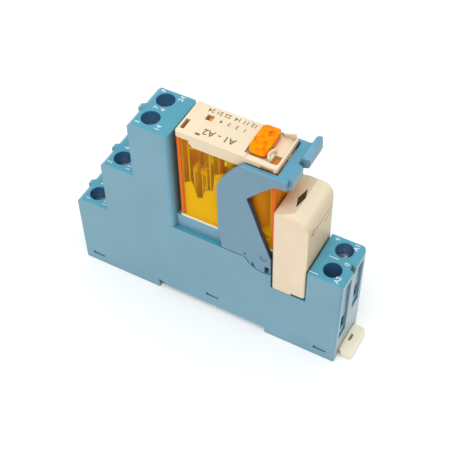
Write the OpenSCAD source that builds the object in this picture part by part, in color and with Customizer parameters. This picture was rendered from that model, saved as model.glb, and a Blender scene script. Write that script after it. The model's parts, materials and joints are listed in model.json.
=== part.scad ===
// Plug-in relay on a DIN-rail screw socket, with its ejector lever and suppression module.
// Frame: origin at the centre of the rail seat, X along the socket towards the coil terminals,
// Y across it from the marked face to the back, Z up from the rail. Millimetres.

/* [Socket] */
// Length of the socket body
socket_length = 84; // [83.5:0.1:85]
// Width of the socket across the rail
socket_width = 15.8; // [15.8:0.05:16.2]
// Width of the recess for a 35 mm rail
rail_recess = 35.6; // [35.4:0.1:36]
// Height of the feet below the rail seat
foot_height = 2.3; // [2.2:0.05:2.5]
// Thickness of the lower side walls
wall = 1.2; // [1:0.05:1.3]
// Height of the lowest terminal level above the rail seat
low_level = 24.6; // [24:0.1:25]
// Rise from one contact terminal level to the next
level_rise = 19.9; // [19.5:0.1:20.2]
// Set-back from one contact terminal level to the next
level_step = 10.65; // [10.5:0.05:10.8]
// Height of the coil terminal block
coil_level = 32.9; // [32.5:0.1:33.2]
// Height of the platform that the relay stands on
seat_height = 33.6; // [33.4:0.1:33.8]

/* [Terminals] */
// Diameter of the screwdriver holes
hole_diameter = 5.15; // [5:0.05:5.3]
// Distance from the middle of the socket to each row of terminals
row_offset = 3.78; // [3.75:0.01:3.8]
// Width of a wire entry
wire_width = 4.4; // [4.3:0.05:4.4]
// Height of a wire entry with the clamp open
wire_height = 4.6; // [4.4:0.05:4.6]
// Diameter of the clamp screws
screw_diameter = 3; // [2.9:0.05:3]
// Distance that a clamp rises when it is screwed tight
clamp_travel = 2; // [1:0.1:2]

/* [Relay] */
// Length of the relay's transparent cover
relay_length = 28.8; // [28.6:0.1:28.9]
// Width of the relay over its cap
relay_width = 12.4; // [12.3:0.05:12.5]
// Height of the relay above its seat, to the top of the cap
relay_height = 32.2; // [32:0.1:32.4]
// Wall of the transparent cover
cover_wall = 0.7; // [0.6:0.05:0.8]
// Length of the relay's plug-in pins
pin_length = 6; // [5.5:0.1:6]

/* [Lever] */
// Thickness of the lever's arms
arm_thickness = 1.4; // [1.3:0.05:1.45]
// Diameter of the lever's pivot studs
stud_diameter = 2.4; // [2.2:0.1:2.4]
// Distance from the pivot to the bar that lifts the relay
lift_arm = 10.3; // [10.2:0.1:10.4]

/* [Module] */
// Length of the suppression module along the socket
module_length = 10.1; // [10:0.05:10.15]
// Height of the module's crown above the rail seat
module_top = 53; // [52.5:0.1:53.2]

/* [Rail latch] */
// Width of the latch's finger tab
latch_width = 10.4; // [10:0.1:10.6]
// How far the finger tab stands out of the socket's end
latch_reach = 3.6; // [3:0.1:4]

/* [Fits] */
// Radial running clearance of a shaft in its hole
running = 0.05; // [0.03:0.01:0.08]
// Gap between plug-in pieces and their pockets
play = 0.15; // [0.1:0.01:0.2]

/* [Hidden] */
$fn = 48;
eps = 0.01;

// Socket landmarks along X and Z
half_width = socket_width / 2;
half_recess = rail_recess / 2;
left_end = -44;
right_end = left_end + socket_length;
hole_inset = 4.9;                       // screw centre behind the face of its level
level_chamfer = 1.5;                    // sloping edge at the front of each level
nib_reach = 0.8;                        // wedge-shaped nib below that edge
nib_half = 0.9;
top_block_right = -10.4;
ledge = seat_height - 4.7;              // top of the side walls beside the relay
pocket_left = 19.55;                    // pocket that takes the module
pocket_right = 30.15;
pocket_floor = 20.25;
coil_x = 35.7;
end_lean = 0.6;                         // the coil end leans out by this much at its top
end_chamfer = 0.7;                      // its top is cut back by this much
seat_half_width = 6.2;                  // platform and relay sit between the lever's arms
cavity_top = 10.2;                      // wiring space above the base
row_inner = 0.63;                       // half the rib between the two rows
row_outer = 6.93;
well_outer = 4.5;                       // wells for the plug-in contacts

// Terminals: [name, x, side, top of its level, depth of the screw head, depth of the wire,
//             pin x, height of the strip's run]
head_depth = 4;
wire_depth = 11.1;
function level_top(k) = low_level + k * level_rise;
function level_x(k) = left_end + hole_inset + k * level_step;
CONTACT_PINS = [2.7, -1.8, -6.3];
COIL_PIN = 16.7;
function contact_terminal(name, k, side) =
    [name, level_x(k), side, level_top(k), head_depth, wire_depth, CONTACT_PINS[k], 4.4 + 2 * k];
TERMINALS = [
    contact_terminal("12", 0, -1), contact_terminal("11", 1, -1), contact_terminal("14", 2, -1),
    contact_terminal("22", 0, 1), contact_terminal("21", 1, 1), contact_terminal("24", 2, 1),
    ["a1", coil_x, 1, coil_level, head_depth, 14.2, COIL_PIN, 5.4],
    ["a2", coil_x, -1, coil_level, 9, 19.6, COIL_PIN, 5.4]
];
function inward(t) = t[1] < 0 ? 1 : -1;          // direction from a terminal to the relay
function wire_top(t) = t[3] - t[5];

// Screw, clamp and strip
head_diameter = 4.8;
head_height = 1.8;
strip_thickness = 0.8;
clamp_length = 6.4;
clamp_width = 5.8;
clamp_plate = 1.4;
clamp_floor = 1;
clamp_lift_room = 0.7;                  // between the strip and the clamp's threaded plate
chamber_half = clamp_length / 2 + 0.25;
strip_leg = 3.7;                        // centre of the strip's leg beside the clamp
strip_width = 4;
tulip_gap = 0.7;
tulip_leaf = 0.5;
pin_thickness = 0.5;
pin_width = 2.4;
pin_row = 3.1;                          // relay pins each side of the middle

// Relay
relay_left = -9.3;
relay_right = relay_left + relay_length;
relay_top = seat_height + relay_height;
cap_right = relay_right + 0.3;
cap_bottom = relay_top - 1.8;
base_flange = 0.7;
base_plug = 2;
shroud = 0.4;                           // thin walls on the base beside the contacts
cover_bottom = seat_height + base_flange;
cover_half = 6;
floor_z = cover_bottom + base_plug;     // top of the relay's base
blade_width = 3.1;
blade_thickness = 0.3;
common_x = -2.6;                        // moving contact blade
blade_hinge = floor_z + 1;
rivet_height = floor_z + 15.2;
rivet = 0.45;
rivet_radius = 1.2;
blade_tip = rivet_height + 2.2;         // free end of the moving contacts
contact_gap = 1.22;
touch = 0.02;                           // closed contacts stand this far apart
fixed_thickness = 0.4;
contact_reach = (blade_thickness + fixed_thickness) / 2 + 2 * rivet;
card_z = floor_z + 8.9;
card_height = 1.6;
coil_axis = 12.5;
core_radius = 2;
tube_radius = 2.8;                      // bobbin tube under the winding
winding_radius = 4.8;
bobbin_height = 20;
bobbin_flange = 1;
yoke_thickness = 1.5;
yoke_top = floor_z + yoke_thickness;
pole_z = yoke_top + bobbin_height + 0.5;
pivot_x = 5.95;                         // armature knife edge on the yoke
pivot_z = pole_z + 0.7;
armature_top = pivot_z + 1.4;
step_right = 10.8;                      // the cap is highest left of here
pocket_depth = 1.1;                     // pocket in the cap for the test button
pocket_y = [-4.6, 5.7];
apron_inner = cover_half - 0.26;        // the cap's apron hangs in a recess of the cover
apron_ends = [-5.2, 11.4];
button_x = [10.3, 15.4];
button_y = [-3.8, 6.7];
button_stem_x = 14.5;
flag_window = [-4.5, -2.5, 1, 3];

// Lever
lever_x = 17.3;
lever_z = seat_height - 2.1;
lever_top = cap_bottom;
bar_right = 23.3;                       // right-hand side of the crossbar
arm_inner = half_width - arm_thickness;
lobe_radius = 6;
window = [0.3, 1.65];                   // windows through the lobe, measured from the pivot
window_top = 3.2;
bar_radius = 1;
bar_x = lever_x - lift_arm;
bar_z = seat_height - 0.1 - bar_radius;

// Module
module_left = 19.75;
module_right = module_left + module_length;
module_bottom = pocket_floor + play;
module_wall = 0.9;
shoulder = 6;                           // radius of the module's crown on its right
ridge_x = module_left + 5.7;            // the crown is highest here
crown_radius = 2;                       // and along its front and back
key_step = 0.8;                         // its lower right edge stands this much higher
key_length = 4.2;
module_floor = module_bottom + 2;
lens_centre = [24.5, -0.9];
lens_half = [1, 3.6];
board_ends = [module_left + 1.3, module_right - 1.3];
board_top = module_top - 7;
part_x = (board_ends[0] + board_ends[1]) / 2;   // resistor and diode on the board
part_z = module_floor + 4.6;
module_pin_x = 24.8;

// Snap hooks between base and housing: left end and height of each slot
SNAPS = [[-41.3, 0.5], [-1.4, 3.9], [33.4, 0.5]];
snap_length = 4;
snap_stand = 0.8;                       // how far a hook stays inside the socket's side
base_top = 3;

// Latch
latch_neck = 4.5;
tab_top = 0.3;
tab_start = right_end + 0.2;
tab_end = right_end + end_lean + latch_reach;
hook_z = -1.2;
seat_half = 15.8;

// ---- shared shapes ----

// A block from one corner to the opposite one
module block(low, high) {
    translate(low) cube(high - low);
}

// An outline in X and Z, extruded across Y
module across(points, y0, y1) {
    translate([0, y1, 0]) rotate([90, 0, 0]) linear_extrude(y1 - y0) polygon(points);
}

// A block with its four upright edges rounded
module round_block(low, high, r) {
    block([low[0] + r, low[1], low[2]], [high[0] - r, high[1], high[2]]);
    block([low[0], low[1] + r, low[2]], [high[0], high[1] - r, high[2]]);
    for (x = [low[0] + r, high[0] - r], y = [low[1] + r, high[1] - r])
        translate([x, y, low[2]]) cylinder(r = r, h = high[2] - low[2]);
}

// What a rounding takes off an edge along X; sy and sz point out of the solid
module edge_cut_x(x0, x1, y, z, sy, sz, r) {
    difference() {
        block([x0, min(y, y - sy * r) - (sy < 0 ? 1 : 0), min(z, z - sz * r) - (sz < 0 ? 1 : 0)],
              [x1, max(y, y - sy * r) + (sy > 0 ? 1 : 0), max(z, z - sz * r) + (sz > 0 ? 1 : 0)]);
        translate([x0 - 1, y - sy * r, z - sz * r]) rotate([0, 90, 0]) cylinder(r = r, h = x1 - x0 + 2);
    }
}

// What a rounding takes off an upright edge; sx and sy point out of the solid
module edge_cut_z(x, y, z0, z1, sx, sy, r) {
    difference() {
        block([min(x, x - sx * r) - (sx < 0 ? 1 : 0), min(y, y - sy * r) - (sy < 0 ? 1 : 0), z0],
              [max(x, x - sx * r) + (sx > 0 ? 1 : 0), max(y, y - sy * r) + (sy > 0 ? 1 : 0), z1]);
        translate([x - sx * r, y - sy * r, z0 - 1]) cylinder(r = r, h = z1 - z0 + 2);
    }
}

// Points of an arc about a centre, from one angle to another
function arc(centre, r, a0, a1, n = 8) =
    [for (i = [0:n]) let (a = a0 + (a1 - a0) * i / n) centre + r * [cos(a), sin(a)]];

// ---- socket ----

// Wedge-shaped slot of a snap hook, drawn in by a clearance
function snap_outline(s, inset) = let (left = s[0] + inset, right = s[0] + snap_length - inset)
    [[left, s[1] + inset], [right, s[1] + inset], [right, s[1] + 0.6 - inset],
     [s[0] + 1.3, s[1] + 0.7 - inset], [left, s[1] + 1.2 - inset]];

// Left-hand steps of the socket, from the foot up to the top level
function step_points(k) = let (x = left_end + k * level_step, z = level_top(k))
    [[x, k == 0 ? -foot_height : level_top(k - 1)], [x, z - level_chamfer], [x + level_chamfer, z]];

socket_outline = concat(
    [for (k = [0:2]) each step_points(k)],
    [[top_block_right, level_top(2)], [top_block_right, seat_height], [pocket_left, seat_height],
     [pocket_left, pocket_floor], [pocket_right, pocket_floor], [pocket_right + 0.2, coil_level],
     [right_end - end_chamfer, coil_level], [right_end + end_lean, coil_level - 1.3],
     [right_end, -foot_height], [half_recess, -foot_height], [half_recess, 0],
     [-half_recess + 3.4, 0], [-half_recess, 1.3], [-half_recess, -foot_height]]);

// Screwdriver hole, clamp chamber and wire entry of one terminal
module terminal_space(t) {
    y = t[2] * row_offset;
    ceiling = wire_top(t) + strip_thickness + clamp_lift_room + clamp_plate + clamp_travel + 0.3;
    outward = -inward(t);
    face = outward < 0 ? t[1] - hole_inset - 1 : right_end + 2;
    y_low = t[2] > 0 ? row_inner : -row_outer;
    y_high = t[2] > 0 ? row_outer : -row_inner;
    leg = t[1] + inward(t) * (strip_leg + 0.8);
    back = t[1] - inward(t) * chamber_half;
    translate([t[1], y, ceiling - 1]) cylinder(d = hole_diameter, h = t[3] - ceiling + 2);
    low = min(cavity_top - 1, wire_top(t) - wire_height - clamp_floor - 0.3);
    block([min(leg, back), y_low, low], [max(leg, back), y_high, ceiling]);
    block([min(face, t[1]), y - wire_width / 2, wire_top(t) - wire_height],
          [max(face, t[1]), y + wire_width / 2, wire_top(t) + 0.6]);
}

// Well below the relay for the plug-in contacts, with a slot for each pin
module contact_well(side, x0, x1, pins) {
    y_low = side > 0 ? row_inner : -well_outer;
    y_high = side > 0 ? well_outer : -row_inner;
    block([x0, y_low, cavity_top - 1], [x1, y_high, seat_height - 1.3]);
    for (x = pins)
        block([x - 0.6, side * pin_row - 1.5, seat_height - 2],
              [x + 0.6, side * pin_row + 1.5, seat_height + 1]);
}

module socket_housing() color([0.45, 0.63, 0.72]) difference() {
    union() {
        across(socket_outline, -half_width, half_width);
        for (k = [0:2])
            translate([left_end + k * level_step, 0, level_top(k)])
                across([[1, -3.7], [0, -3.7], [-nib_reach, -3], [-nib_reach, -1.2], [0.9, -0.4],
                        [1.6, -1]], -nib_half, nib_half);
    }
    // side walls stop at the ledge beside the relay, and hollow round the lever's lobes
    for (side = [-1, 1]) {
        y0 = side > 0 ? seat_half_width : -half_width - 1;
        y1 = side > 0 ? half_width + 1 : -seat_half_width;
        block([top_block_right, y0, ledge], [pocket_left + 1, y1, seat_height + 1]);
        translate([lever_x, y1, lever_z]) rotate([90, 0, 0])
            cylinder(r = lobe_radius + 0.3, h = y1 - y0);
        translate([lever_x, side * (seat_half_width + 1), lever_z]) rotate([side * 90, 0, 0])
            cylinder(d = stud_diameter + 2 * running, h = 2.4);
        // behind the lobe's windows
        block([lever_x + window[0], min(side * 4.4, y0), lever_z - lobe_radius - 0.2],
              [lever_x + window[1], max(side * 4.4, y1), lever_z - window_top]);
        for (k = [0:2])
            edge_cut_x(left_end + k * level_step - 2,
                       k == 2 ? top_block_right + 1 : left_end + (k + 1) * level_step,
                       side * half_width, level_top(k), side, 1, 0.8);
        edge_cut_z(top_block_right, side * half_width, ledge, level_top(2) + 1, 1, side, 1.6);
        edge_cut_z(right_end + end_lean, side * half_width, -foot_height - 1, coil_level + 1,
                   1, side, 1.2);
        edge_cut_x(pocket_right, right_end + 2, side * half_width, coil_level, side, 1, 0.6);
        for (s = SNAPS)
            across(snap_outline(s, 0), side > 0 ? half_width - wall - 0.5 : -half_width - 1,
                   side > 0 ? half_width + 1 : -half_width + wall + 0.5);
    }
    // slot for the bar that lifts the relay
    block([bar_x - 1.15, -half_width, bar_z - bar_radius - 0.3],
          [bar_x + 2, half_width, seat_height + 1]);
    // terminals
    for (t = TERMINALS) terminal_space(t);
    for (side = [-1, 1]) {
        contact_well(side, -8.2, 4.6, CONTACT_PINS);
        contact_well(side, COIL_PIN - 1.8, COIL_PIN + 1.8, [COIL_PIN]);
        // grooves that lead wires into the coil terminals
        y_mid = side * row_offset;
        wire_foot = side > 0 ? wire_top(TERMINALS[6]) : wire_top(TERMINALS[7]);
        block([right_end - 0.4, y_mid - wire_width / 2, wire_foot - wire_height - 2],
              [right_end + 2, y_mid + wire_width / 2, coil_level - 3]);
        // well for the module's pin
        block([module_pin_x - 1.3, min(side * 2, side * 5.4), cavity_top - 1],
              [module_pin_x + 1.3, max(side * 2, side * 5.4), pocket_floor - 1.5]);
        block([module_pin_x - 0.6, min(side * 2.3, side * 5.3), pocket_floor - 2],
              [module_pin_x + 0.6, max(side * 2.3, side * 5.3), pocket_floor + 1]);
    }
    // wiring space, closed by the base
    block([left_end + wall, -half_width + wall, -foot_height - 1],
          [right_end - wall, half_width - wall, cavity_top]);
    // marker notch at the top of the coil end
    block([right_end - end_chamfer, -1.2, coil_level - 2.6], [right_end + 2, 0.6, coil_level + 1]);
    // way out for the latch
    block([right_end - 2, -latch_neck - 1, -foot_height - 1], [right_end + 2, latch_neck + 1, 0.2]);
}

// Bottom cover: rail seat, fixed rail hook, guide for the latch and six snap hooks
module socket_base() color([0.42, 0.6, 0.7]) {
    x0 = left_end + wall + 0.05;
    x1 = right_end - wall - 0.05;
    y = half_width - wall - 0.05;
    undercut = 0.15;
    post_in = y - 0.65;
    difference() {
        union() {
            block([x0, -y, undercut], [x1, y, base_top]);
            block([-seat_half, -y, 0], [seat_half, y, 1]);
            block([x0, -y, -foot_height], [-half_recess - 0.2, y, 1]);
            block([half_recess, -y, -foot_height], [x1, y, 1]);
            block([-half_recess - 1, -y + 0.3, -foot_height], [-half_recess + 1.6, y - 0.3, hook_z]);
            for (s = SNAPS, side = [-1, 1]) {
                across(snap_outline(s, 0.1), side > 0 ? post_in : -half_width + snap_stand,
                       side > 0 ? half_width - snap_stand : -post_in);
                block([s[0] + 0.2, min(side * post_in, side * y), 1],
                      [s[0] + snap_length - 0.2, max(side * post_in, side * y),
                       max(base_top, s[1] + 0.5)]);
            }
        }
        // guide of the latch: narrow at the bottom, wide above
        block([half_recess - 1, -latch_neck - 0.15, -foot_height - 1], [right_end, latch_neck + 0.15, 0]);
        block([half_recess - 1, -latch_neck - 0.75, hook_z - 0.15], [right_end, latch_neck + 0.75, 0.15]);
    }
}

// Sliding rail latch with its hook and finger tab
module din_latch() color([0.95, 0.9, 0.8]) {
    neck_bottom = -foot_height + 0.2;
    block([half_recess + 0.15, -latch_neck, neck_bottom], [right_end + 1.2, latch_neck, -0.1]);
    block([half_recess + 1.5, -latch_neck - 0.6, hook_z], [right_end - 3.2, latch_neck + 0.6, -0.1]);
    block([half_recess - 1.5, -latch_neck, neck_bottom], [half_recess + 1, latch_neck, hook_z - 0.05]);
    difference() {
        round_block([tab_start, -latch_width / 2, neck_bottom],
                    [tab_end, latch_width / 2, tab_top], 0.9);
        // slot for a screwdriver, and a slope along the outer edge
        block([tab_start + 0.9, -0.8, -foot_height - 1], [tab_start + 1.7, 1.8, 2]);
        across([[tab_end - 0.5, tab_top + eps], [tab_end + eps, tab_top + eps],
                [tab_end + eps, tab_top - 1.2]], -latch_width, latch_width);
    }
}

// ---- terminals ----

module terminal_screw(t) color([0.78, 0.78, 0.76]) {
    head_top = t[3] - t[4];
    tip = wire_top(t) + strip_thickness + 0.1;
    translate([t[1], t[2] * row_offset, 0]) difference() {
        union() {
            translate([0, 0, head_top - head_height]) cylinder(d = head_diameter, h = head_height);
            translate([0, 0, tip]) cylinder(d = screw_diameter, h = head_top - head_height - tip + eps);
        }
        for (turn = [0, 90]) rotate([0, 0, turn])
            block([-1.6, -0.4, head_top - 1.1], [1.6, 0.4, head_top + 1]);
    }
}

module terminal_clamp(t) color([0.8, 0.77, 0.66]) {
    plate_low = wire_top(t) + strip_thickness + clamp_lift_room;
    floor_top = wire_top(t) - wire_height;
    translate([t[1], t[2] * row_offset, 0]) difference() {
        block([-clamp_length / 2, -clamp_width / 2, floor_top - clamp_floor],
              [clamp_length / 2, clamp_width / 2, plate_low + clamp_plate]);
        block([-clamp_length, -wire_width / 2, floor_top], [clamp_length, wire_width / 2, plate_low]);
        translate([0, 0, plate_low - 1]) cylinder(d = screw_diameter + 2 * running, h = clamp_plate + 2);
    }
}

// Upright of a strip that ends in a two-leaved plug-in contact
module tulip(x, y, width, low, fork, top) {
    outer = tulip_gap / 2 + tulip_leaf;
    near = y - width / 2;
    far = y + width / 2;
    block([x - strip_thickness / 2, near, low], [x + strip_thickness / 2, far, fork + eps]);
    block([x - outer, near, fork], [x + outer, far, fork + 0.6]);
    block([x - outer, near, fork], [x - tulip_gap / 2, far, top]);
    block([x + tulip_gap / 2, near, fork], [x + outer, far, top]);
}

// Conductor from a clamp down to the wiring space, along it and up to a plug-in contact
module terminal_strip(t) color([0.83, 0.66, 0.38]) {
    s = inward(t);
    z = wire_top(t);
    leg = t[1] + s * strip_leg;
    y = t[2] * row_offset;
    run = t[7];
    h = strip_thickness;
    pin = t[6];
    fork_low = seat_height - pin_length - 1.2;
    riser_top = seat_height - 1.5;
    y_pin = t[2] * pin_row;
    block([min(t[1] - s * 2.4, leg + s * h / 2), y - strip_width / 2, z],
          [max(t[1] - s * 2.4, leg + s * h / 2), y + strip_width / 2, z + h]);
    block([leg - h / 2, y - strip_width / 2, run], [leg + h / 2, y + strip_width / 2, z + eps]);
    block([min(leg - s * h / 2, pin + s * h / 2), y - strip_width / 2, run],
          [max(leg - s * h / 2, pin + s * h / 2), y + strip_width / 2, run + h]);
    tulip(pin, y_pin, pin_width, run, fork_low, riser_top);
    // branch that feeds the module from a coil strip
    if (s < 0)
        tulip(module_pin_x, y, pin_width, run, pocket_floor - 7.2, pocket_floor - 1.7);
}

// ---- lever ----

// Lever outline: window and edges measured down from the crossbar's top, lobe round the pivot
lever_outline = concat(
    [[4.5, lever_z - 2.3], [3.5, lever_z + 4.9], [3.5, lever_top - 11.3], [3.8, lever_top - 9.7],
     [5, lever_top - 7], [7.3, lever_top - 3.7], [10.8, lever_top],
     [bar_right, lever_top], [bar_right - 0.1, lever_top - 2.8], [20.1, lever_top - 3.1],
     [16.6, lever_top - 6.3], [12.2, lever_top - 11.2], [14.2, lever_top - 16.8], [16.1, lever_z + 9.6],
     [17.8, lever_z + 5], [19.2, lever_z + 1.2], [19.4, lever_z]],
    arc([lever_x, lever_z], lobe_radius, -70, -157, 16));
tab_outline = [[22.7, lever_top - 2.8], [22.7, lever_top - 0.2], [23.7, lever_top + 2.4],
               [24.6, lever_top + 3.1], [25.4, lever_top + 3.1], [25.6, lever_top - 0.2],
               [25.2, lever_top - 1.8]];

module retaining_lever() color([0.45, 0.63, 0.73]) difference() {
    union() {
        for (side = [-1, 1]) {
            across(lever_outline, side > 0 ? arm_inner : -half_width, side > 0 ? half_width : -arm_inner);
            translate([lever_x, side * (arm_inner + 0.2), lever_z]) rotate([side * 90, 0, 0])
                cylinder(d = stud_diameter, h = 1.7);
        }
        translate([bar_x, half_width - 0.7, bar_z]) rotate([90, 0, 0])
            cylinder(r = bar_radius, h = socket_width - 1.4);
        across([[20.3, lever_top - 3.1], [20.3, lever_top], [bar_right - 0.4, lever_top],
                [bar_right - 0.4, lever_top - 2.8]], -half_width + 0.5, half_width - 0.5);
        across([[22.5, lever_top - 3.7], [22.5, lever_top], [23.7, lever_top - 0.1],
                [24.3, lever_top - 0.7], [24.3, lever_top - 3.4], [24.1, lever_top - 3.7]], -6.4, -0.5);
        across(tab_outline, 0.9, half_width);
    }
    // the finger tab falls away towards the middle
    translate([22, 0, lever_top]) rotate([90, 0, 90]) linear_extrude(6)
        polygon([[0, 0.2], [1.4, 1.2], [4.6, 3.2], [4.6, 5], [0, 5]]);
    for (side = [-1, 1]) {
        edge_cut_x(3, side > 0 ? 22.5 : 24, side * half_width, lever_top, side, 1, 0.6);
        // moulding marks over the pivot and on the lobe
        translate([lever_x, side * (half_width - 0.25), lever_z]) rotate([-side * 90, 0, 0])
            cylinder(r = 1.15, h = 1);
        translate([lever_x - 5.7, side * (half_width - 0.4), lever_z - 1.1]) rotate([-side * 90, 0, 0])
            cylinder(r = 0.35, h = 1);
    }
    // two windows at the foot of each lobe
    block([lever_x + window[0], -half_width - 1, lever_z - lobe_radius - 1],
          [lever_x + window[1], half_width + 1, lever_z - window_top]);
    across([[lever_x - 3.55, lever_z - 2.9], [lever_x - 3.55, lever_z - 7], [lever_x - 2.4, lever_z - 7],
            [lever_x - 2.4, lever_z - 5.6]], -half_width - 1, half_width + 1);
}

// ---- relay ----

// Outline of the thin wall that keeps the contacts of one side apart from the cover:
// it is cut down in front of the moving contact and rises to the yoke
shroud_left = relay_left + 0.8;
shroud_right = pivot_x - 1.25;
shroud_outline = [[shroud_left, floor_z - 1], [shroud_left, card_z - 2.3],
    [shroud_left + 0.2, card_z + 0.7], [common_x - 3.3, card_z + 2.6],
    [common_x - 2.4, card_z + 0.7], [common_x - 1.55, card_z - 3.2],
    [common_x, card_z - 2.5], [common_x + 1, card_z + 1.1], [common_x + 3.3, card_z + 1.9],
    [common_x + 4.1, blade_tip], [shroud_right, blade_tip + 2], [shroud_right, floor_z - 1]];

module relay_base() color([0.95, 0.92, 0.84]) {
    inset = cover_wall + 0.05;
    difference() {
        union() {
            for (side = [-1, 1])
                across(shroud_outline, side > 0 ? cover_half - inset - shroud : -cover_half + inset,
                       side > 0 ? cover_half - inset : -cover_half + inset + shroud);
            round_block([relay_left, -relay_width / 2 + 0.05, seat_height],
                        [relay_right, relay_width / 2 - 0.05, cover_bottom], 0.6);
            block([relay_left + inset, -cover_half + inset, seat_height + 0.1],
                  [relay_right - inset, cover_half - inset, floor_z]);
        }
        for (side = [-1, 1], x = concat(CONTACT_PINS, [COIL_PIN]))
            translate([x, side * pin_row, seat_height])
                cube([pin_thickness + 0.06, pin_width + 0.06, 2 * (base_plug + 2)], center = true);
    }
}

module relay_cover() color([0.95, 0.55, 0.1, 0.6]) difference() {
    round_block([relay_left, -cover_half, cover_bottom], [relay_right, cover_half, cap_bottom], 0.6);
    block([relay_left + cover_wall, -cover_half + cover_wall, cover_bottom - 1],
          [relay_right - cover_wall, cover_half - cover_wall, cap_bottom - cover_wall]);
    apron_recess = apron_inner - 0.04;
    for (side = [-1, 1])
        block([apron_ends[0] - 0.1, min(side * apron_recess, side * 7), cap_bottom - 2.1],
              [apron_ends[1] + 0.1, max(side * apron_recess, side * 7), cap_bottom + 1]);
    block([flag_window[0] - 0.2, flag_window[2] - 0.1, cap_bottom - 2],
          [flag_window[1] + 0.1, flag_window[3] + 0.1, cap_bottom + 1]);
    block([button_stem_x - 1, -1, cap_bottom - 2], [button_stem_x + 1, 1, cap_bottom + 1]);
}

module relay_cap() color([0.98, 0.95, 0.85]) difference() {
    half = relay_width / 2;
    deep = relay_top - pocket_depth;
    union() {
        round_block([relay_left, -half, cap_bottom], [cap_right, half, relay_top - 0.3], 0.7);
        round_block([relay_left, -half, cap_bottom], [step_right, half, relay_top], 0.7);
        for (side = [-1, 1])
            across([[apron_ends[0] + 1, cap_bottom - 2], [apron_ends[1], cap_bottom - 2],
                    [apron_ends[1], cap_bottom + 0.5], [apron_ends[0], cap_bottom + 0.5],
                    [apron_ends[0], cap_bottom - 1]],
                   side > 0 ? apron_inner : -half, side > 0 ? half : -apron_inner);
        // the pocket's back wall rises towards the lever
        across([[button_x[1] + 0.5, deep], [button_x[1] + 0.5, relay_top - 0.3],
                [cap_right - 0.9, relay_top + 0.9], [cap_right - 0.7, relay_top + 0.7],
                [cap_right - 0.7, deep]], pocket_y[1], half);
    }
    // pocket round the test button, open behind it, with a boss beside the slot
    difference() {
        block([9.9, pocket_y[0], deep], [cap_right - 0.6, pocket_y[1], relay_top + 2]);
        translate([17.1, -2.9, deep - 1]) cylinder(r = 1.5, h = 1.8);
    }
    block([9.9, pocket_y[1] - eps, deep], [button_x[1] + 0.3, half + 1, relay_top + 2]);
    block([17, -4.8, cap_bottom - 1], [18.8, -1.1, relay_top]);
    block([button_stem_x - 1, -1, cap_bottom - 1], [button_stem_x + 1, 1, relay_top]);
    block([flag_window[0], flag_window[2], cap_bottom - 1],
          [flag_window[1], flag_window[3], relay_top + 1]);
    block([-8.7, -4.5, cap_bottom - 1], [-7.5, -0.8, relay_top + 1]);
    for (side = [-1, 1])
        block([15.2, min(side * 5.8, side * 7), cap_bottom - 1],
              [18.8, max(side * 5.8, side * 7), cap_bottom + 0.9]);
}

// Push-button whose stem presses on the armature
module test_button() color([1, 0.6, 0.05]) {
    low = relay_top - 0.6;
    back_radius = (button_x[1] - button_x[0]) / 2;
    back_y = button_y[1] - back_radius;
    intersection() {
        translate([button_x[0], 0, 0]) rotate([90, 0, 90]) linear_extrude(2 * back_radius)
            polygon(concat([[button_y[0], low], [button_y[0], low + 0.4], [-2.3, low + 1.2],
                            [0.5, low + 1.7]], arc([button_y[1] - 1.7, low], 1.7, 90, 0, 6)));
        union() {
            round_block([button_x[0], button_y[0], low - 1], [button_x[1], back_y + 1.2, low + 3], 1.2);
            translate([button_x[0] + back_radius, back_y, low - 1]) cylinder(r = back_radius, h = 4);
        }
    }
    block([button_stem_x - 0.8, -0.8, armature_top + 0.05], [button_stem_x + 0.8, 0.8, low + 0.1]);
}

module coil_bobbin() color([0.93, 0.9, 0.82]) difference() {
    union() {
        for (z = [yoke_top, yoke_top + bobbin_height - bobbin_flange])
            block([coil_axis - 5.2, -5.1, z], [coil_axis + 5.2, 5.1, z + bobbin_flange]);
        translate([coil_axis, 0, yoke_top]) cylinder(r = tube_radius, h = bobbin_height);
    }
    translate([coil_axis, 0, yoke_top - 1]) cylinder(r = core_radius + running, h = bobbin_height + 2);
}

module coil_winding() color([0.85, 0.45, 0.18])
    translate([coil_axis, 0, yoke_top + bobbin_flange]) difference() {
        cylinder(r = winding_radius, h = bobbin_height - 2 * bobbin_flange);
        translate([0, 0, -1]) cylinder(r = tube_radius, h = bobbin_height);
    }

module coil_core() color([0.7, 0.7, 0.72]) {
    translate([coil_axis, 0, floor_z]) cylinder(r = core_radius, h = pole_z - floor_z);
    translate([coil_axis, 0, yoke_top + bobbin_height])
        cylinder(r = 3.2, h = pole_z - yoke_top - bobbin_height);
}

module yoke() color([0.68, 0.69, 0.7]) difference() {
    union() {
        block([pivot_x - 0.75, -4, floor_z], [coil_axis + 3.8, 4, yoke_top]);
        block([pivot_x - 0.75, -4, floor_z], [pivot_x + 0.75, 4, pivot_z - 0.1]);
    }
    translate([coil_axis, 0, floor_z - 1]) cylinder(r = core_radius + running, h = 4);
}

module armature() color([0.72, 0.72, 0.74]) {
    block([pivot_x - 2, -4.2, pivot_z], [coil_axis + 5, 4.2, armature_top]);
    block([pivot_x - 2, -3, card_z + 0.2], [pivot_x - 1.05, 3, armature_top]);
}

// T-shaped card that pushes both moving contacts
module actuator_card() color([0.96, 0.93, 0.86]) {
    block([common_x + blade_thickness / 2 + 0.1, -4.2, card_z],
          [common_x + 0.8, 4.2, card_z + card_height]);
    block([common_x + 0.5, -0.7, card_z], [pivot_x - 2.1, 0.7, card_z + card_height]);
}

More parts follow.
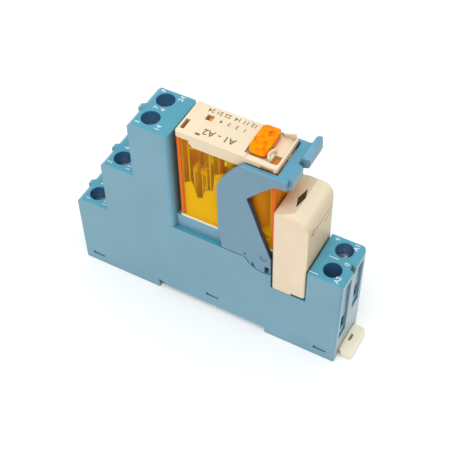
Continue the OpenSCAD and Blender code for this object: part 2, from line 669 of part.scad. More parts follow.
module status_flag() color([1, 0.5, 0.1]) {
    arm_z = pivot_z - 2.4;
    block([0.2, -0.6, card_z + card_height], [1.2, 0.6, arm_z + 0.9]);
    block([-3.7, -0.6, arm_z], [1.2, 0.6, arm_z + 0.9]);
    block([-3.7, -0.6, arm_z], [-2.7, 2.8, arm_z + 0.9]);
    block([-3.7, 1.2, arm_z], [-2.7, 2.8, relay_top - 0.5]);
}

// Spring blade with a contact rivet on each face
module moving_contact(side) color([0.85, 0.62, 0.35]) translate([common_x, side * pin_row, 0]) {
    half = blade_thickness / 2;
    block([-half, -blade_width / 2, blade_hinge - 0.1], [half, blade_width / 2, blade_tip]);
    translate([-half - rivet, 0, rivet_height]) rotate([0, 90, 0])
        cylinder(r = rivet_radius, h = blade_thickness + 2 * rivet);
}

// A plug-in pin with its foot on the relay's base
module contact_pin(x, side, foot_to) {
    y = side * pin_row;
    block([x - pin_thickness / 2, y - pin_width / 2, seat_height - pin_length],
          [x + pin_thickness / 2, y + pin_width / 2, floor_z + eps]);
    block([min(x - pin_thickness / 2, foot_to), y - blade_width / 2, floor_z],
          [max(x + pin_thickness / 2, foot_to), y + blade_width / 2, floor_z + 0.5]);
}

module common_pins() color([0.85, 0.62, 0.35]) for (side = [-1, 1]) {
    contact_pin(CONTACT_PINS[1], side, common_x - blade_thickness / 2);
    translate([common_x, side * pin_row, 0])
        block([-blade_thickness / 2, -blade_width / 2, floor_z],
              [blade_thickness / 2, blade_width / 2, blade_hinge - 0.15]);
}

// Fixed contact blade with its rivet; s points from the blade to the moving contact
module fixed_contact(pin, side, blade, s) {
    half = fixed_thickness / 2;
    contact_pin(pin, side, blade - s * half);
    translate([0, side * pin_row, 0]) {
        block([blade - half, -blade_width / 2, floor_z],
              [blade + half, blade_width / 2, rivet_height + 1.6]);
        translate([min(blade + s * half, blade + s * (half + rivet)), 0, rivet_height]) rotate([0, 90, 0])
            cylinder(r = rivet_radius, h = rivet);
    }
}

module make_contacts() color([0.85, 0.66, 0.4]) for (side = [-1, 1])
    fixed_contact(CONTACT_PINS[2], side, common_x - contact_reach - contact_gap, 1);

module break_contacts() color([0.85, 0.66, 0.4]) for (side = [-1, 1])
    fixed_contact(CONTACT_PINS[0], side, common_x + contact_reach + touch, -1);

module coil_pins() color([0.85, 0.66, 0.4]) for (side = [-1, 1]) {
    foot = coil_axis + 5;
    contact_pin(COIL_PIN, side, foot);
    block([foot - 0.5, side * pin_row - 1, floor_z], [foot, side * pin_row + 1, yoke_top]);
}

// ---- module ----

// Crowned outline of the module, drawn in by a wall all round
module module_shape(inset) intersection() {
    across(concat([[module_left + inset, module_bottom], [module_right - key_length, module_bottom],
                   [module_right - key_length, module_bottom + key_step],
                   [module_right - inset, module_bottom + key_step]],
                  arc([module_right - shoulder, module_top - shoulder], shoulder - inset, 0, 60, 9),
                  [[ridge_x, module_top - inset],
                   [module_left + 0.25 + inset, module_top - 1.9 - inset]]),
           -half_width, half_width);
    translate([module_left - 1, 0, 0]) rotate([90, 0, 90]) linear_extrude(module_length + 2)
        polygon(concat([[-half_width + inset, module_bottom - 1],
                        [half_width - inset, module_bottom - 1]],
                       arc([half_width - crown_radius, module_top - crown_radius],
                           crown_radius - inset, 0, 90, 6),
                       arc([-half_width + crown_radius, module_top - crown_radius],
                           crown_radius - inset, 90, 180, 6)));
    round_block([module_left + inset, -half_width + inset, module_bottom - 1],
                [module_right - inset, half_width - inset, module_top + 1], max(0.9 - inset, 0.3));
}

module module_housing() color([0.93, 0.87, 0.75]) difference() {
    module_shape(0);
    difference() {
        module_shape(module_wall);
        block([module_left, -half_width, module_top - 3], [module_right, half_width, module_top]);
    }
    block([module_left + module_wall, -half_width + module_wall, module_bottom - 1],
          [module_right - module_wall, half_width - module_wall, module_bottom + key_step + 0.4]);
    translate([lens_centre[0], lens_centre[1], module_top - 4]) linear_extrude(6)
        polygon([[-lens_half[0], -0.2], [-0.1, lens_half[1]], [lens_half[0], 0.2], [0.1, -lens_half[1]]]);
}

module led_lens() color([0.35, 0.33, 0.3, 0.6])
    translate([lens_centre[0], lens_centre[1], module_top - 3]) linear_extrude(2.5)
        polygon([[-lens_half[0] + 0.05, -0.2], [-0.1, lens_half[1] - 0.15], [lens_half[0] - 0.05, 0.2],
                 [0.1, -lens_half[1] + 0.15]]);

module module_base() color([0.9, 0.85, 0.74])
    block([module_left + module_wall + 0.03, -half_width + module_wall + 0.03, module_bottom],
          [module_right - module_wall - 0.03, half_width - module_wall - 0.03, module_floor]);

module module_pins() color([0.85, 0.66, 0.4]) for (side = [-1, 1])
    block([module_pin_x - pin_thickness / 2, side * row_offset - 1.2, module_bottom - 5],
          [module_pin_x + pin_thickness / 2, side * row_offset + 1.2, module_bottom]);

module module_board() color([0.15, 0.4, 0.22])
    block([board_ends[0], -0.5, module_floor], [board_ends[1], 0.5, board_top]);

module module_led() color([0.55, 0.9, 0.5]) {
    translate([lens_centre[0], lens_centre[1], board_top]) {
        cylinder(d = 3.4, h = 0.8);
        cylinder(d = 3, h = 3);
    }
}

module module_resistor() color([0.8, 0.72, 0.55])
    translate([part_x, 0.5 + 1.2, part_z]) cylinder(d = 2.4, h = 7);

module module_diode() color([0.15, 0.15, 0.15])
    translate([part_x, -0.5 - 1.3, part_z]) cylinder(d = 2.6, h = 5.2);

// ---- the assembly ----

socket_housing();
socket_base();
din_latch();
retaining_lever();
for (t = TERMINALS) {
    terminal_screw(t);
    terminal_clamp(t);
    terminal_strip(t);
}
relay_base();
relay_cover();
relay_cap();
test_button();
coil_bobbin();
coil_winding();
coil_core();
yoke();
armature();
actuator_card();
status_flag();
moving_contact(-1);  // moving_contact_front
moving_contact(1);  // moving_contact_back
common_pins();
make_contacts();
break_contacts();
coil_pins();
module_housing();
module_base();
module_pins();
module_board();
module_led();
led_lens();
module_resistor();
module_diode();
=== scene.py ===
# Looks of the plug-in relay: materials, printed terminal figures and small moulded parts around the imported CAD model.
# Blender works in metres. The places of pieces are written in mm, in the CAD model's frame: X runs along the socket
# towards the coil terminals, Y across it, with the side that the camera sees at -Y, and Z upwards.
import json
import math

import bmesh
import bpy
from mathutils import Matrix, Vector


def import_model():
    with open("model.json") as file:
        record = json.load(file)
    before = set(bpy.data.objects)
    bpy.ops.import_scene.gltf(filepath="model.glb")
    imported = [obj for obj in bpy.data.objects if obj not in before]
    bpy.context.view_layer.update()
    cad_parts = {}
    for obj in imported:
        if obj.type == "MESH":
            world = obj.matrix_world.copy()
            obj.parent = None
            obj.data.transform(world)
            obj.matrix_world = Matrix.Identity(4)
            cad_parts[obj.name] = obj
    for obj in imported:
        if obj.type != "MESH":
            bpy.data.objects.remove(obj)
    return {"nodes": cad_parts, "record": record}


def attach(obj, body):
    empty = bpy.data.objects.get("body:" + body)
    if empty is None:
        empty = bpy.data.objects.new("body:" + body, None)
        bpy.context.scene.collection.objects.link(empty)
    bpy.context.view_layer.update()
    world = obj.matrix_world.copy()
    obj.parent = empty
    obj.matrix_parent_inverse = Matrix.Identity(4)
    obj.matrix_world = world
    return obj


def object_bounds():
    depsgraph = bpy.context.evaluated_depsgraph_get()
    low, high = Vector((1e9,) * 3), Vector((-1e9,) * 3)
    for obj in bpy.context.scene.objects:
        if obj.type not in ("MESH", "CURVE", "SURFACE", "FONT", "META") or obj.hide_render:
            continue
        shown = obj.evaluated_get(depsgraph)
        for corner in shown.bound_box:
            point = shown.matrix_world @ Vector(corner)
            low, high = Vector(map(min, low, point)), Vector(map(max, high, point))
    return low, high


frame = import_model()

CAD_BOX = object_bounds()
MM = 0.001
scene = bpy.context.scene


def mm(*v):
    return Vector(v) * MM


# ---------------------------------------------------------------- camera, lamp, world and floor

AZIMUTH, ELEVATION, ROLL = (math.radians(a) for a in (29.92, 49.64, -1.58))
CAMERA_PLACE = mm(96.2465, -163.1601, 248.8864)
LENS, SENSOR = 81.6, 36                 # mm
CLIP = 0.01, 10                         # nearest and farthest distance that the camera sees, m

# colour and strength of the world as it lights the object, and as it shows in views and reflections
WORLD_LIGHT = (0.97, 0.99, 1.0, 1), 0.8
WORLD_SEEN = (1, 1, 1, 1), 1.0

FLOOR_RADIUS = 3.0                      # m
FLOOR_GAP = 0.0001                      # between the floor and the object's lowest point, m
FLOOR_GREYS = (0.86, 0.86, 0.86), (0.88, 0.88, 0.88)
FLOOR_GLOW = 0.22                       # added where the floor is seen, so that it shows white


def camera():
    back = Vector((math.sin(AZIMUTH) * math.cos(ELEVATION), -math.cos(AZIMUTH) * math.cos(ELEVATION),
                   math.sin(ELEVATION)))
    right = Vector((0, 0, 1)).cross(back).normalized()
    up = back.cross(right)
    x = right * math.cos(ROLL) + up * math.sin(ROLL)
    y = up * math.cos(ROLL) - right * math.sin(ROLL)
    data = bpy.data.cameras.new("camera")
    data.lens, data.sensor_width = LENS, SENSOR
    data.clip_start, data.clip_end = CLIP
    obj = bpy.data.objects.new("camera", data)
    turned = Matrix((x, y, back)).transposed().to_4x4()
    turned.translation = CAMERA_PLACE
    obj.matrix_world = turned
    scene.collection.objects.link(obj)
    scene.camera = obj


def area_light(name, where, target, size, power, colour):
    """A round lamp that faces a target. Its places and size are in metres."""
    data = bpy.data.lights.new(name, "AREA")
    data.shape = "DISK"
    data.size = size
    data.energy = power
    data.color = colour
    obj = bpy.data.objects.new(name, data)
    obj.location = where
    obj.rotation_euler = (Vector(where) - Vector(target)).to_track_quat("Z", "Y").to_euler()
    scene.collection.objects.link(obj)


def seen(nt):
    """1 for rays that show a surface: from the camera, off gloss and through glass. 0 for rays that light one."""
    path = nt.nodes.new("ShaderNodeLightPath")
    result = path.outputs["Is Camera Ray"]
    for kind in ("Is Glossy Ray", "Is Transmission Ray"):
        either = nt.nodes.new("ShaderNodeMath")
        either.operation = "MAXIMUM"
        nt.links.new(result, either.inputs[0])
        nt.links.new(path.outputs[kind], either.inputs[1])
        result = either.outputs[0]
    return result


def world():
    studio = bpy.data.worlds.new("studio")
    scene.world = studio
    studio.use_nodes = True
    nt = studio.node_tree
    nt.nodes.clear()
    mix = nt.nodes.new("ShaderNodeMixShader")
    nt.links.new(seen(nt), mix.inputs[0])
    for socket, (colour, strength) in ((1, WORLD_LIGHT), (2, WORLD_SEEN)):
        background = nt.nodes.new("ShaderNodeBackground")
        background.inputs["Color"].default_value = colour
        background.inputs["Strength"].default_value = strength
        nt.links.new(background.outputs[0], mix.inputs[socket])
    out = nt.nodes.new("ShaderNodeOutputWorld")
    nt.links.new(mix.outputs[0], out.inputs["Surface"])


def floor():
    bm = bmesh.new()
    bmesh.ops.create_circle(bm, cap_ends=True, segments=96, radius=FLOOR_RADIUS)
    mesh = bpy.data.meshes.new("floor")
    bm.to_mesh(mesh)
    bm.free()
    obj = bpy.data.objects.new("floor", mesh)
    obj.location = (0, 0, CAD_BOX[0].z - FLOOR_GAP)
    scene.collection.objects.link(obj)
    n = Nodes("floor")
    matt = n.principled(Base_Color=n.ramp(n.noise(3, 2), *FLOOR_GREYS), Roughness=0.9, Specular_IOR_Level=0.1)
    glow = n.add("ShaderNodeMixShader")
    n.feed(glow, "0", seen(n.nt))
    for socket, strength in (("1", 0.0), ("2", FLOOR_GLOW)):
        n.feed(glow, socket, n.add("ShaderNodeEmission", Strength=strength).outputs[0])
    total = n.add("ShaderNodeAddShader")
    n.feed(total, "0", matt.outputs[0])
    n.feed(total, "1", glow.outputs[0])
    mesh.materials.append(n.done(total))


# ---------------------------------------------------------------- materials

# The scales of noise are per metre, and all lengths are in metres. A face's direction is read from its normal's
# parts along the axes: spans of them say from where a face starts to count as facing so, and from where it fully does.
NOISE = 0.3, 0.7                        # a noise value mostly lies between these
FACING = 0.75, 0.98                     # span in which a broad face counts as facing along an axis
MOTTLING = 0.05                         # share by which a plastic's colour varies
GRAIN, GRAIN_DEPTH = 7200, 0.00001      # noise scale and depth of a plastic's spark-eroded grain
EDGE_RADIUS = 0.00018                   # of a plastic's softly rounded edges
EDGE_HIGHLIGHT = 0.4                              # share of the paler colour painted on a plastic's sharp edges as a highlight
CREVICE_REACH = 0.0025                  # distance within which painted shade darkens a plastic's corners and creases
INNER_SHADE = 0.7                       # share of the side's colour on the socket's wall beside the relay, as painted shade in the gap there

HOLE_SHADE = (0.045, 0.17, 0.34, 1)      # painted shade inside the screwdriver holes
THICK_AMBER = (0.95, 0.135, 0.0, 1)     # the cover's long sides where an end wall stands edge on behind them
END_AMBER = (1.0, 0.27, 0.0, 1)         # the end wall beside the coil
FAR_AMBER = (1.0, 0.42, 0.03, 1)        # the end wall beside the contacts
LEVEL_AMBER = (0.75, 0.23, 0.02, 1)     # the cover's faces that look up
BUTTON_SHADED_SIDE = (0.95, 0.20, 0.0, 1)      # painted shade: the deeper orange of the test button's faces that don't look up
END_FROM = 0.025                        # the ends of the socket and the module lie beyond this X


class Nodes:
    """A material's node tree, with short calls to add to it."""

    def __init__(self, name):
        self.mat = bpy.data.materials.new(name)
        self.mat.use_nodes = True
        self.nt = self.mat.node_tree
        self.nt.nodes.clear()
        self.out = self.nt.nodes.new("ShaderNodeOutputMaterial")
        self.coord = self.nt.nodes.new("ShaderNodeTexCoord").outputs["Object"]

    def add(self, kind, **inputs):
        """A new node. A socket's name is written with _ for each space."""
        n = self.nt.nodes.new(kind)
        for k, v in inputs.items():
            self.feed(n, k.replace("_", " "), v)
        return n

    def feed(self, n, socket, v):
        """Gives a socket, by its name or number, another node's output or a value."""
        s = n.inputs[int(socket)] if socket.isdigit() else n.inputs[socket]
        if isinstance(v, bpy.types.NodeSocket):
            self.nt.links.new(v, s)
        elif isinstance(v, (tuple, list)) and len(v) == 3 and s.type == "RGBA":
            s.default_value = (*v, 1)
        else:
            s.default_value = v

    def noise(self, scale, detail=3, vector=None):
        return self.add("ShaderNodeTexNoise", Scale=scale, Detail=detail, Vector=vector or self.coord).outputs["Fac"]

    def ramp(self, fac, low, high, at=NOISE):
        n = self.add("ShaderNodeValToRGB", Fac=fac)
        for e, pos, c in zip(n.color_ramp.elements, at, (low, high)):
            e.position = pos
            e.color = (*c, 1)
        return n.outputs["Color"]

    def math(self, op, a, b=0.0):
        n = self.nt.nodes.new("ShaderNodeMath")
        n.operation = op
        self.feed(n, "0", a)
        self.feed(n, "1", b)
        return n.outputs[0]

    def mix(self, fac, a, b, mode="MIX"):
        """Colour a, with colour b over it as far as fac says."""
        n = self.nt.nodes.new("ShaderNodeMix")
        n.data_type = "RGBA"
        n.blend_type = mode
        for socket, v in (("0", fac), ("6", a), ("7", b)):
            self.feed(n, socket, v)
        return n.outputs[2]

    def span(self, v, a, b, lo, hi):
        """A value that runs from lo to hi while v runs from a to b, and stays there beyond."""
        n = self.nt.nodes.new("ShaderNodeMapRange")
        for i, x in enumerate((v, a, b, lo, hi)):
            self.feed(n, str(i), x)
        return n.outputs[0]

    def axes(self, vector):
        return self.add("ShaderNodeSeparateXYZ", Vector=vector).outputs

    def bump(self, height, strength, distance, normal=None):
        n = self.add("ShaderNodeBump", Height=height, Strength=strength, Distance=distance)
        if normal is not None:
            self.feed(n, "Normal", normal)
        return n.outputs["Normal"]

    def bevel(self, radius):
        n = self.add("ShaderNodeBevel", Radius=radius)
        n.samples = 4
        return n.outputs["Normal"]

    def principled(self, **inputs):
        return self.add("ShaderNodeBsdfPrincipled", **inputs)

    def done(self, shader):
        self.feed(self.out, "Surface", shader.outputs[0])
        return self.mat


def hole_mask(n, columns, row, radius):
    """1 inside the round screwdriver holes, where painted shade goes; they stand in two rows at the columns' X places.
    """
    place = n.axes(n.coord)
    across = n.math("SUBTRACT", n.math("ABSOLUTE", place["Y"]), row)
    nearest = 1.0
    for x in columns:
        along = n.math("SUBTRACT", place["X"], x)
        reach = n.math("SQRT", n.math("ADD", n.math("MULTIPLY", along, along), n.math("MULTIPLY", across, across)))
        nearest = n.math("MINIMUM", reach, nearest)
    return n.math("LESS_THAN", nearest, radius)


def plastic(name, colour, rough=0.42, side=None, end=None, top=None, under=None, shaded=None, holes=None,
            crevice_shade=0.45):
    """Moulded plastic: a fine spark-eroded grain, faint flow marks, softly rounded edges with a painted highlight,
    and painted shade in its corners and creases, by a given share. side, end, top and under are colours painted on
    its broad sides, its end towards the coil terminals, its upper faces and faces that lean over: lit and shaded
    copies of one plastic, painted shade where darker and painted sheen where paler. shaded is a span of Z and the
    colour of painted shade in it on faces towards the coil end, which the module stands in front of. holes says
    where the screwdriver holes are, painted dark inside as shade."""
    n = Nodes(name)
    geometry = n.add("ShaderNodeNewGeometry")
    normal = n.axes(geometry.outputs["Normal"])

    def mottled(c, scale=60):
        dark = tuple(v * (1 - MOTTLING) for v in c)
        light = tuple(min(1, v * (1 + MOTTLING)) for v in c)
        return n.ramp(n.noise(scale, 4), dark, light)

    base = mottled(colour, 90)
    if side:
        # broad sides get a colour of their own: painted sheen where it is paler, painted shade where it is darker
        base = n.mix(n.span(n.math("ABSOLUTE", normal["Y"]), *FACING, 0, 1), base, mottled(side))
    if end:
        # the outer end gets a colour of its own: painted sheen where it is paler, painted shade where it is darker
        outer = n.math("GREATER_THAN", n.axes(n.coord)["X"], END_FROM)
        endways = n.math("MULTIPLY", n.span(normal["X"], *FACING, 0, 1), outer)
        base = n.mix(endways, base, mottled(end))
        if side:
            # faces towards the coil end, short of the outer end: painted shade in the gap beside the relay
            inner = n.math("MULTIPLY", n.span(normal["X"], 0.5, 0.95, 0, 1), n.math("SUBTRACT", 1.0, outer))
            base = n.mix(inner, base, tuple(v * INNER_SHADE for v in side))
    if top:
        # upper faces get a colour of their own: the lit copy beside the painted sheen of the other faces
        base = n.mix(n.span(normal["Z"], 0.6, 0.95, 0, 1), base, mottled(top, 80))
    if under:
        # painted shade on faces that lean over
        base = n.mix(n.span(normal["Z"], -0.3, -0.1, 1, 0), base, mottled(under))
    if shaded:
        # painted shade on faces towards the coil end within the span of Z
        low, high, shade = shaded
        z = n.axes(n.coord)["Z"]
        within = n.math("MULTIPLY", n.math("GREATER_THAN", z, low), n.math("LESS_THAN", z, high))
        base = n.mix(n.math("MULTIPLY", n.span(normal["X"], 0.55, 0.75, 0, 1), within), base, mottled(shade))

    # an edge is where the rounded normal leaves the flat one: there the colour is painted paler, as a painted highlight
    soft = n.bevel(EDGE_RADIUS)
    alike = n.add("ShaderNodeVectorMath")
    alike.operation = "DOT_PRODUCT"
    n.feed(alike, "0", soft)
    n.feed(alike, "1", geometry.outputs["Normal"])
    flatness = n.math("ADD", alike.outputs["Value"], n.math("MULTIPLY", n.noise(500), 0.04))
    wear_and_highlight = tuple(min(1, v * 1.25 + 0.06) for v in (top or colour))
    base = n.mix(n.span(flatness, 0.86, 1.0, EDGE_HIGHLIGHT, 0), base, wear_and_highlight)
    if crevice_shade:
        # painted shade in corners and creases, from ambient occlusion
        ao = n.add("ShaderNodeAmbientOcclusion", Distance=CREVICE_REACH)
        ao.samples = 6
        light = n.span(ao.outputs["AO"], 0.15, 0.75, 1 - crevice_shade, 1)
        grey = n.add("ShaderNodeCombineColor", Red=light, Green=light, Blue=light)
        base = n.mix(1.0, base, grey.outputs[0], "MULTIPLY")
    if holes:
        # painted shade inside the screwdriver holes
        base = n.mix(hole_mask(n, *holes), base, HOLE_SHADE)
    return n.done(n.principled(Base_Color=base, Roughness=n.span(n.noise(300), *NOISE, rough - 0.06, rough + 0.06),
                               Normal=n.bump(n.noise(GRAIN, 2), strength=0.25, distance=GRAIN_DEPTH, normal=soft)))


def metal(name, colour, rough, metallic=1.0):
    """Metal with fine brushed lines across its height."""
    n = Nodes(name)
    stretched = n.add("ShaderNodeMapping", Vector=n.coord, Scale=(1, 1, 14))
    lines = n.noise(700, 3, stretched.outputs[0])
    return n.done(n.principled(Base_Color=n.ramp(lines, tuple(c * 0.82 for c in colour), colour), Metallic=metallic,
                               Roughness=n.span(lines, *NOISE, rough - 0.08, rough + 0.1),
                               Normal=n.bump(lines, strength=0.3, distance=0.00001, normal=n.bevel(0.00006))))


def clear(name, tint, body, haze, rough=0.1, ends=None):
    """Clear tinted plastic: light passes with the tint, and the surface shines and is a little hazy with the
    body's colour. ends are the X places within which it is clear: beyond them it is seen through its length."""
    n = Nodes(name)
    streak = n.add("ShaderNodeMapping", Vector=n.coord, Scale=(1, 1, 0.12))
    colour = n.ramp(n.noise(260, 3, streak.outputs[0]), tuple(c * 0.8 for c in body), body)
    geometry = n.add("ShaderNodeNewGeometry")
    rim = n.add("ShaderNodeLayerWeight", Blend=0.12).outputs["Facing"]
    weight = n.span(rim, 0.0, 1.0, haze, haze + 0.15)
    weight = n.math("MULTIPLY", weight, n.math("SUBTRACT", 1.0, geometry.outputs["Backfacing"]))
    if ends:
        near, far = ends
        blur = 0.0001                   # half the width of the change
        thick = 0.85                    # haze of plastic seen through its length
        broad = 0.65                    # share of it on the broad face of the end wall beside the coil
        x = n.axes(n.coord)["X"]
        normal = n.axes(geometry.outputs["Normal"])
        aside = n.span(n.math("ABSOLUTE", normal["Y"]), 0.6, 0.9, broad, 1)
        contact_end = n.span(x, near - blur, near + blur, thick, 0)
        coil_end = n.span(x, far - blur, far + blur, 0, thick)
        level = n.span(normal["Z"], 0.8, 0.95, 0, thick)
        wall = n.math("MAXIMUM", contact_end, n.math("MULTIPLY", coil_end, aside))
        weight = n.math("MAXIMUM", weight, n.math("MAXIMUM", wall, level))
        end = n.mix(n.span(x, near, far, 0, 1), FAR_AMBER, END_AMBER)
        deep = n.mix(n.span(aside, broad, 1, 0, 1), end, THICK_AMBER)
        colour = n.mix(level, n.mix(wall, colour, deep), LEVEL_AMBER)
    shell = n.principled(Base_Color=colour, Specular_IOR_Level=0.2, Normal=n.bevel(0.0002),
                         Roughness=n.span(n.noise(200, 2), *NOISE, rough - 0.03, rough + 0.05))
    mix = n.add("ShaderNodeMixShader")
    n.feed(mix, "0", weight)
    n.feed(mix, "1", n.add("ShaderNodeBsdfTransparent", Color=tint).outputs[0])
    n.feed(mix, "2", shell.outputs[0])
    return n.done(mix)


def button_plastic(name):
    """Glossy orange, mottled on top, with painted shade at the sides."""
    n = Nodes(name)
    base = n.ramp(n.noise(700, 2), (0.93, 0.145, 0.0), (1.0, 0.33, 0.0), (0.32, 0.52))
    up = n.axes(n.add("ShaderNodeNewGeometry").outputs["Normal"])["Z"]
    base = n.mix(n.span(up, 0.2, 0.8, 1, 0), base, BUTTON_SHADED_SIDE)
    return n.done(n.principled(Base_Color=base, Specular_IOR_Level=0.06,
                               Roughness=n.span(n.noise(260, 2), *NOISE, 0.2, 0.34),
                               Normal=n.bump(n.noise(700, 2), strength=0.3, distance=0.00004,
                                             normal=n.bevel(0.0003))))


def copper_winding(name):
    """Fine copper turns, one above the other, painted lighter and less metallic than real copper, as painted light
    inside the cover.
    """
    n = Nodes(name)
    turns = n.add("ShaderNodeTexWave", Scale=2600, Distortion=0.4, Detail=1, Vector=n.coord)
    turns.wave_type = "BANDS"
    turns.bands_direction = "Z"
    fac = turns.outputs["Fac"]
    return n.done(n.principled(Base_Color=n.ramp(fac, (0.92, 0.40, 0.20), (1.0, 0.58, 0.34)), Metallic=0.12,
                               Roughness=0.32, Normal=n.bump(fac, strength=0.6, distance=0.00005)))


def ink(name, colour):
    """Pad-printed ink, thin in places."""
    n = Nodes(name)
    wear_and_highlight = n.noise(1800, 2)
    return n.done(n.principled(Base_Color=n.ramp(wear_and_highlight, tuple(c * 0.8 for c in colour), colour),
                               Roughness=n.span(wear_and_highlight, *NOISE, 0.5, 0.62)))


# X of the columns of screwdriver holes, Y of their rows either side of the middle, and their radius
SCREW_HOLES = (-0.0391, -0.02845, -0.0178, 0.0357), 0.00378, 0.00262

# each kind of finish with the materials of that kind, named as in the record's material slots
FINISHES = {
    plastic: {
        # socket: broad sides and outer end painted paler than the tops, as painted sheen; painted shade in the holes
        "socket_blue": dict(colour=(0.075, 0.35, 0.47), rough=0.4, side=(0.19, 0.38, 0.48), end=(0.39, 0.48, 0.52),
                            holes=SCREW_HOLES),
        "base_blue": dict(colour=(0.08, 0.30, 0.42), rough=0.45),
        # lever: faces that don't look up painted paler and greyer than its top, as painted sheen; painted shade under
        # it and on its window's edge
        "lever_blue": dict(colour=(0.19, 0.33, 0.42), rough=0.36, side=(0.16, 0.31, 0.41), top=(0.10, 0.35, 0.51),
                           under=(0.035, 0.07, 0.11), shaded=(0.032, 0.053, (0.055, 0.065, 0.11))),
        "latch_cream": dict(colour=(1.0, 0.89, 0.69), rough=0.45, crevice_shade=0.3),
        "relay_cream": dict(colour=(0.97, 0.92, 0.72), rough=0.45, crevice_shade=0),
        # cap: broad sides painted a little darker, as painted shade
        "cap_cream": dict(colour=(0.90, 0.75, 0.53), rough=0.4, side=(0.88, 0.71, 0.49)),
        # module: broad sides and end painted darker, as painted shade
        "module_cream": dict(colour=(0.92, 0.78, 0.56), side=(0.90, 0.72, 0.52), end=(0.72, 0.56, 0.36)),
        "board_green": dict(colour=(0.04, 0.20, 0.08), rough=0.4),
        "led_green": dict(colour=(0.25, 0.65, 0.25), rough=0.2),
        "resistor_tan": dict(colour=(0.62, 0.45, 0.25), rough=0.3),
        "diode_black": dict(colour=(0.02, 0.02, 0.02), rough=0.3),
        "dot_red": dict(colour=(0.80, 0.07, 0.005), rough=0.3, crevice_shade=0),
    },
    clear: {
        "cover_amber": dict(tint=(1.0, 0.90, 0.12), body=(1.0, 0.41, 0.02), haze=0.2, ends=(-0.0080, 0.0184)),
        "lens_grey": dict(tint=(0.45, 0.40, 0.30), body=(0.22, 0.18, 0.11), haze=0.42, rough=0.12),
    },
    metal: {
        "core_steel": dict(colour=(0.80, 0.79, 0.77), rough=0.35, metallic=0.6),
        # contact brass painted lighter and less metallic than real brass, as painted light inside the cover
        "contact_brass": dict(colour=(1.0, 0.80, 0.56), rough=0.42, metallic=0.12),
        "screw_steel": dict(colour=(0.82, 0.81, 0.77), rough=0.25),
        "clamp_steel": dict(colour=(0.62, 0.60, 0.50), rough=0.34),
    },
    button_plastic: {"button_orange": {}},
    copper_winding: {"coil_copper": {}},
    ink: {
        "white_ink": dict(colour=(0.86, 0.91, 0.93)),
        "brown_ink": dict(colour=(0.20, 0.14, 0.08)),
    },
}
MATERIALS = {name: make(name, **values) for make, group in FINISHES.items() for name, values in group.items()}

SLOT_OF = {s["node"]: s["material_slot"] for s in frame["record"]["subparts"]}
for name, obj in frame["nodes"].items():
    obj.data.materials.clear()
    obj.data.materials.append(MATERIALS[SLOT_OF[name]])
    obj.data.polygons.foreach_set("material_index", [0] * len(obj.data.polygons))


# ---------------------------------------------------------------- pieces

PRINT = 0.012                           # half the thickness of printed figures, mm
PRINT_GAP = 0.004                       # between a surface and the figures on it, mm
BOLDER = 0.012                          # share of their size by which figures are widened
STROKE = 0.003, 0.027                   # span of a plain printed stroke above its surface, mm


def piece(name, bm, material, body):
    """Turns a bmesh into a piece that rides on a body."""
    mesh = bpy.data.meshes.new(name)
    bmesh.ops.recalc_face_normals(bm, faces=bm.faces)
    bm.to_mesh(mesh)
    bm.free()
    mesh.materials.append(MATERIALS[material])
    obj = bpy.data.objects.new(name, mesh)
    scene.collection.objects.link(obj)
    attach(obj, body)


def drawn(name, outline, axis, low, high, material, body, bevel=0.05):
    """An outline in the other two axes, drawn out along one axis from low to high, with its edges bevelled, mm."""
    order = {"X": (2, 0, 1), "Y": (0, 2, 1), "Z": (0, 1, 2)}[axis]
    bm = bmesh.new()
    loops = []
    for level in (low, high):
        loops.append([bm.verts.new(mm(*((a, b, level)[i] for i in order))) for a, b in outline])
        bm.faces.new(loops[-1])
    bottom, top = loops
    for i in range(len(outline)):
        j = (i + 1) % len(outline)
        bm.faces.new((bottom[i], bottom[j], top[j], top[i]))
    bmesh.ops.recalc_face_normals(bm, faces=bm.faces)
    if bevel:
        bmesh.ops.bevel(bm, geom=list(bm.edges), offset=bevel * MM, segments=2, affect="EDGES", clamp_overlap=True)
    piece(name, bm, material, body)


def stroke(name, outline, axis, surface, material, body):
    """A plain printed shape on a surface that lies across an axis."""
    low, high = STROKE
    drawn(name, outline, axis, surface + low, surface + high, material, body, bevel=0)


def rect(a0, a1, b0, b1):
    return [(a0, b0), (a1, b0), (a1, b1), (a0, b1)]


def ring(centre, outer, inner, start, end, steps=20):
    """Outline of a curved wall between two angles, in degrees."""
    angles = [math.radians(start + (end - start) * i / steps) for i in range(steps + 1)]

    def arc(r, turn):
        return [(centre[0] + r * math.cos(t), centre[1] + r * math.sin(t)) for t in turn]

    return arc(outer, angles) + arc(inner, reversed(angles))


def printed(name, text, where, size, right, up, material, body):
    """Plain printed figures, as a thin closed mesh on a surface. right and up are the directions of their line
    and of their height."""
    curve = bpy.data.curves.new(name, "FONT")
    curve.body = text
    curve.size = size
    curve.extrude = PRINT
    curve.offset = size * BOLDER
    curve.resolution_u = 2
    curve.align_x = curve.align_y = "CENTER"
    shape = bpy.data.objects.new(name + "_shape", curve)
    scene.collection.objects.link(shape)
    mesh = bpy.data.meshes.new_from_object(shape.evaluated_get(bpy.context.evaluated_depsgraph_get()))
    bpy.data.objects.remove(shape)
    bpy.data.curves.remove(curve)
    bm = bmesh.new()
    bm.from_mesh(mesh)
    bpy.data.meshes.remove(mesh)
    bmesh.ops.remove_doubles(bm, verts=bm.verts, dist=1e-5)
    right, up = Vector(right), Vector(up)
    out = right.cross(up)
    turn = Matrix((right, up, out)).transposed()
    for v in bm.verts:
        v.co = (turn @ v.co + Vector(where) + out * (PRINT + PRINT_GAP)) * MM
    piece(name, bm, material, body)


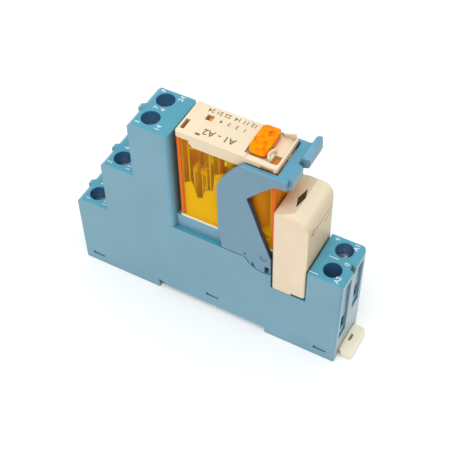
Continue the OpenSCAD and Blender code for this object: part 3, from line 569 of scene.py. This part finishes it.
# terminal figures beside the screwdriver holes: for each level its height, then text, X and Y
COIL_LEVEL = 32.9
FIGURES = (
    (24.6, (("1", -40.9, -6.6), ("12", -35.2, -6.1), ("5", -39.9, 0.1), ("22", -35.0, 6.1))),
    (44.5, (("2", -30.9, -6.6), ("11", -25.0, -6.1), ("6", -29.6, 0.1), ("21", -24.4, 6.1))),
    (64.4, (("3", -20.1, -6.6), ("14", -14.2, -6.1), ("7", -18.5, 0.2), ("4", -16.5, 0.2), ("8", -20.1, 6.6),
            ("24", -14.2, 6.1))),
    (COIL_LEVEL, (("9", 32.6, 6.5), ("A1", 38.3, 6.2), ("0", 38.3, -0.3), ("A2", 38.3, -6.2))),
)
FIGURE_SIZES = {1: 1.95, 2: 2.05}       # by the number of characters
placed = [(text, x, y, z) for z, group in FIGURES for text, x, y in group]
for number, (text, x, y, z) in enumerate(placed, 1):
    printed(f"terminal_figure_{number}", text, (x, y, z), FIGURE_SIZES[len(text)], (0, 1, 0), (-1, 0, 0),
            "white_ink", "socket")

# two strokes beside them: X and Y of their middles, and half their length and width
COIL_MARKS = (34.2, 0.2), (31.6, -6.9)
LONG, WIDE = 1.4, 0.11
for number, (x, y) in enumerate(COIL_MARKS, 1):
    stroke(f"coil_mark_{number}", rect(x - LONG, x + LONG, y - WIDE, y + WIDE), "Z", COIL_LEVEL, "white_ink", "socket")

# the relay's own pin figures on its cap: text, X, Y and size, and a small patch
CAP_TOP = 65.8
PIN_FIGURES = (("12 11 14  22 21 24", 1.8, 4.7, 1.85), ("1   2   3   4", 3.2, 2.1, 1.7), ("A1 - A2", 1.9, -2.9, 2.9))
for number, (text, x, y, size) in enumerate(PIN_FIGURES, 1):
    printed(f"pin_figures_{number}", text, (x, y, CAP_TOP), size, (-1, 0, 0), (0, -1, 0), "brown_ink", "relay")
stroke("pin_mark", rect(-4.1, -2.8, -4.9, -4.2), "Z", CAP_TOP, "brown_ink", "relay")

# plain wiring mark on the module's end: a ring and two strokes
MODULE_END = 29.85
for name, outline in (("module_mark_ring", ring((-4.6, 45.9), outer=0.95, inner=0.7, start=0, end=340)),
                      ("module_mark_long", rect(-3.0, 6.9, 45.3, 45.55)),
                      ("module_mark_short", rect(1.9, 6.2, 43.2, 43.4))):
    stroke(name, outline, "X", MODULE_END, "brown_ink", "module")

# moulded ribs on the inside of the cover's wall, above the jagged wall of the base: X, foot and width, and a bridge
COVER_TOP = 63.25
RIB_FRONT, RIB_BACK, BRIDGE_BACK = -5.24, -4.86, -4.9
RIBS = (-8.15, 45.9, 0.36), (-6.1, 47.8, 0.3), (0.2, 47.2, 0.34), (2.9, 55.2, 0.24), (17.9, 36.4, 0.3)
for number, (x, foot, width) in enumerate(RIBS, 1):
    drawn(f"cover_rib_{number}", rect(x - width / 2, x + width / 2, RIB_FRONT, RIB_BACK), "Z", foot, COVER_TOP,
          "relay_cream", "relay")
drawn("cover_rib_bridge", rect(-6.0, -4.5, 60.3, 60.75), "Y", RIB_FRONT, BRIDGE_BACK, "relay_cream", "relay")

# raised rim round the slot beside the test button, and the button's moulded dot
rim = ring((18.4, -2.4), outer=2.85, inner=2.3, start=128, end=232)
drawn("cap_rim", rim, "Z", 64.6, 66.35, "cap_cream", "relay", bevel=0.08)
dot = ring((13.06, 3.57), outer=0.46, inner=0.0, start=0, end=345)
drawn("button_dot", dot, "Z", 66.8, 66.99, "dot_red", "test_button", bevel=0)


# ---------------------------------------------------------------- studio

camera()
world()
area_light("key", where=(0.06, -0.26, 0.75), target=(0, 0, 0.03), size=0.4, power=1.8, colour=(1.0, 0.99, 0.97))
floor()
scene.view_settings.view_transform = "Standard"
